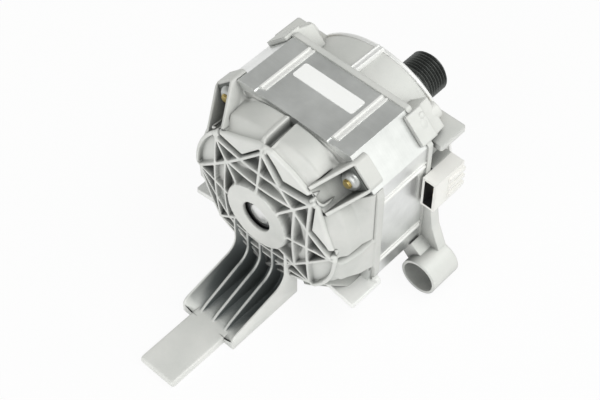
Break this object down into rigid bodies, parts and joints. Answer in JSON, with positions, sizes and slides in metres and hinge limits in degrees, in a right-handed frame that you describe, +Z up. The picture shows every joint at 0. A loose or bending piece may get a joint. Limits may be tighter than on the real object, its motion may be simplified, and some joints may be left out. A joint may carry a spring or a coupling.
{
  "type": "washing machine motor",
  "caption": "Belt-drive washing machine motor: eight-sided lamination stack between cast aluminium end shields, star-ribbed front with a long mounting arm, pivot eye and multi-rib pulley.",
  "frame": {"origin": "on the shaft axis at the middle of the pulley's belt track", "axes": "+Y along the shaft from the front end shield towards the pulley, +Z up through the labelled flat, +X to the connector side"},
  "size_m": [0.1508, 0.2463, 0.1308],
  "materials": {
    "lamination_steel": "satin",
    "cleat_steel": "satin",
    "insulation": "matte",
    "copper": "gloss",
    "black_plastic": "matte",
    "wire_cover": "satin",
    "contact_brass": "gloss",
    "white_plastic": "satin",
    "cast_aluminium": "satin",
    "screw_brass": "satin",
    "label_white": "matte",
    "bearing_steel": "polished",
    "cage_plastic": "satin",
    "seal_rubber": "matte",
    "spring_steel": "satin",
    "shaft_steel": "ground",
    "pulley_black": "satin"
  },
  "bodies": {
    "housing": {"stator_core": "lamination_steel", "stack_cleats": "cleat_steel", "slot_liners": "insulation", "slot_wedges": "insulation", "phase_u_winding": "copper", "phase_v_winding": "copper", "phase_w_winding": "copper", "thermal_protector": "black_plastic", "lead_wires": "wire_cover", "connector_contacts": "contact_brass", "connector_housing": "white_plastic", "front_end_shield": "cast_aluminium", "rear_end_shield": "cast_aluminium", "tie_screws": "screw_brass", "rating_label": "label_white", "front_outer_ring": "bearing_steel", "front_seals": "seal_rubber", "rear_outer_ring": "bearing_steel", "rear_seals": "seal_rubber", "preload_washer": "spring_steel"},
    "rotor": {"shaft": "shaft_steel", "rotor_core": "lamination_steel", "rotor_cage": "cast_aluminium", "front_inner_ring": "bearing_steel", "rear_inner_ring": "bearing_steel", "pulley": "pulley_black", "circlip": "spring_steel"},
    "front_ball_set": {"front_balls": "bearing_steel", "front_ball_cage": "cage_plastic"},
    "rear_ball_set": {"rear_balls": "bearing_steel", "rear_ball_cage": "cage_plastic"}
  },
  "joints": [
    {"name": "rotor_spin", "type": "hinge", "parent": "housing", "child": "rotor", "pos_m": [0, 0, 0], "axis": [0, 1, 0], "continuous": true},
    {"name": "front_ball_roll", "type": "hinge", "parent": "housing", "child": "front_ball_set", "pos_m": [0, 0, 0], "axis": [0, 1, 0], "continuous": true},
    {"name": "rear_ball_roll", "type": "hinge", "parent": "housing", "child": "rear_ball_set", "pos_m": [0, 0, 0], "axis": [0, 1, 0], "continuous": true}
  ],
  "couplings": [
    {"joint": "front_ball_roll", "follows": "rotor_spin", "ratio": 0.38},
    {"joint": "rear_ball_roll", "follows": "rotor_spin", "ratio": 0.3789}
  ]
}
